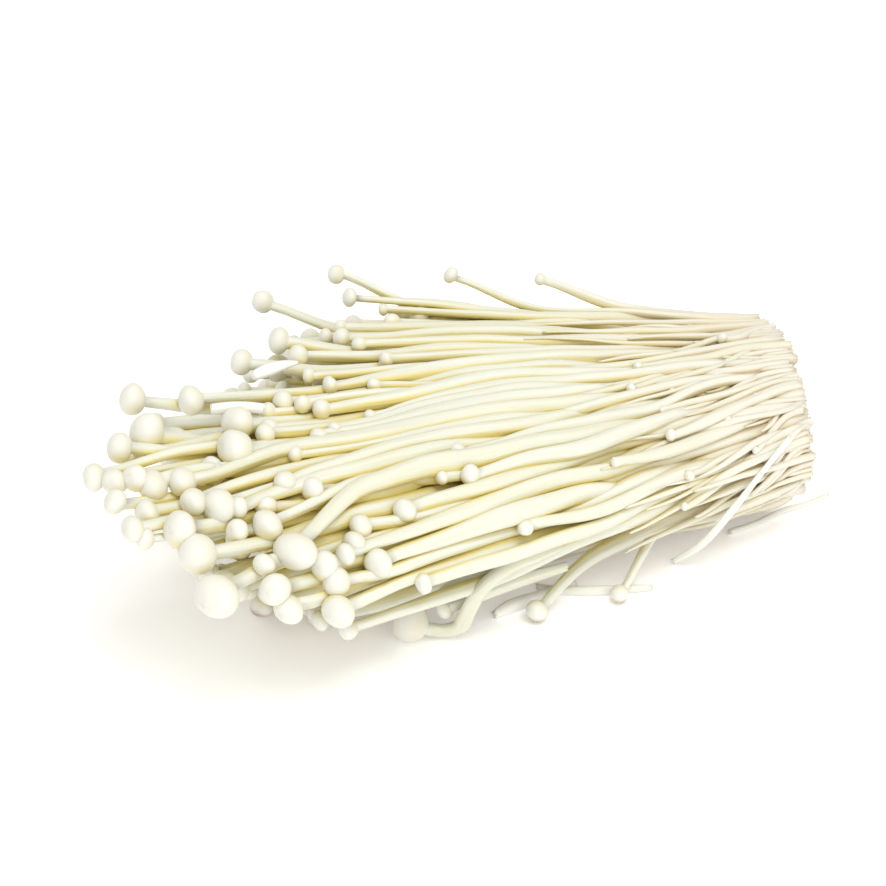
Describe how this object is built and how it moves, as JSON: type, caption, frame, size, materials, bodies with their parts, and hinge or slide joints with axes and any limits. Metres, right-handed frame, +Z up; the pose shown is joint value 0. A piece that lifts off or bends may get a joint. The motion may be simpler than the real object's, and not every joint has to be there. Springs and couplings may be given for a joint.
{
  "type": "enoki mushroom bunch",
  "caption": "Cut bunch of long, thin, pale enoki mushrooms lying on its side, fanning from a narrow cut root end to small round caps, with loose stems beside it.",
  "frame": {"origin": "the small flat spot under the bunch on which it rests", "axes": "+X towards the cut root end, with the caps towards -X, and +Z up from the surface that the bunch lies on"},
  "size_m": [0.142, 0.0998, 0.0432],
  "materials": {
    "mushroom": "satin, waxy, slightly translucent mushroom flesh",
    "loose_stem": "satin, slightly dried mushroom stem"
  },
  "bodies": {
    "root": {"enoki_bunch": "mushroom", "loose_stem_leaning": "loose_stem", "loose_stem_curved": "loose_stem", "loose_stem_trailing": "loose_stem"}
  },
  "joints": []
}
